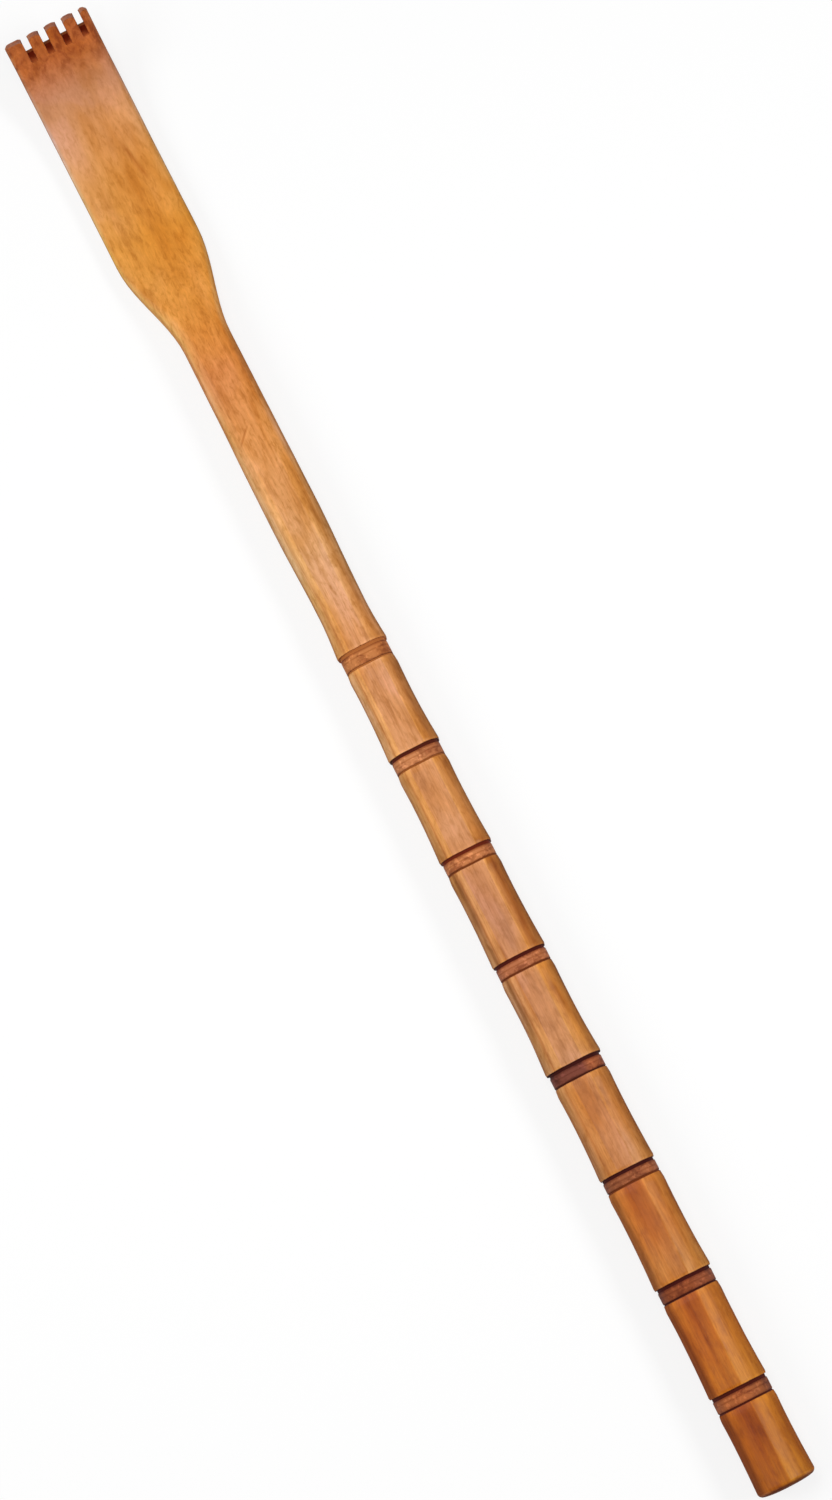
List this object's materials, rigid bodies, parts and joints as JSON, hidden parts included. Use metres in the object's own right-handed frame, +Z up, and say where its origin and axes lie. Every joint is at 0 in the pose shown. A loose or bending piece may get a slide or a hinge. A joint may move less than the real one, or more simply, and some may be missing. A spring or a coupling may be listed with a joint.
{
  "type": "back scratcher",
  "caption": "Carved wooden back scratcher: flat blade curling into blunt claws, slim neck, and a round-edged handle cut into bamboo-like segments by dark banded grooves.",
  "frame": {"origin": "under the middle of the length and width, on the surface that the scratcher lies on", "axes": "+X along the handle toward the claws, +Y across the blade, +Z up from the back toward the hollow side of the claws"},
  "size_m": [0.5, 0.029, 0.0228],
  "materials": {
    "lacquered_wood": "satin lacquer over honey-brown wood",
    "stained_band": "dark red-brown stain, matte"
  },
  "bodies": {
    "root": {"carved_body": "lacquered_wood", "groove_band_1": "stained_band", "groove_band_2": "stained_band", "groove_band_3": "stained_band", "groove_band_4": "stained_band", "groove_band_5": "stained_band", "groove_band_6": "stained_band", "groove_band_7": "stained_band", "groove_band_8": "stained_band"}
  },
  "joints": []
}
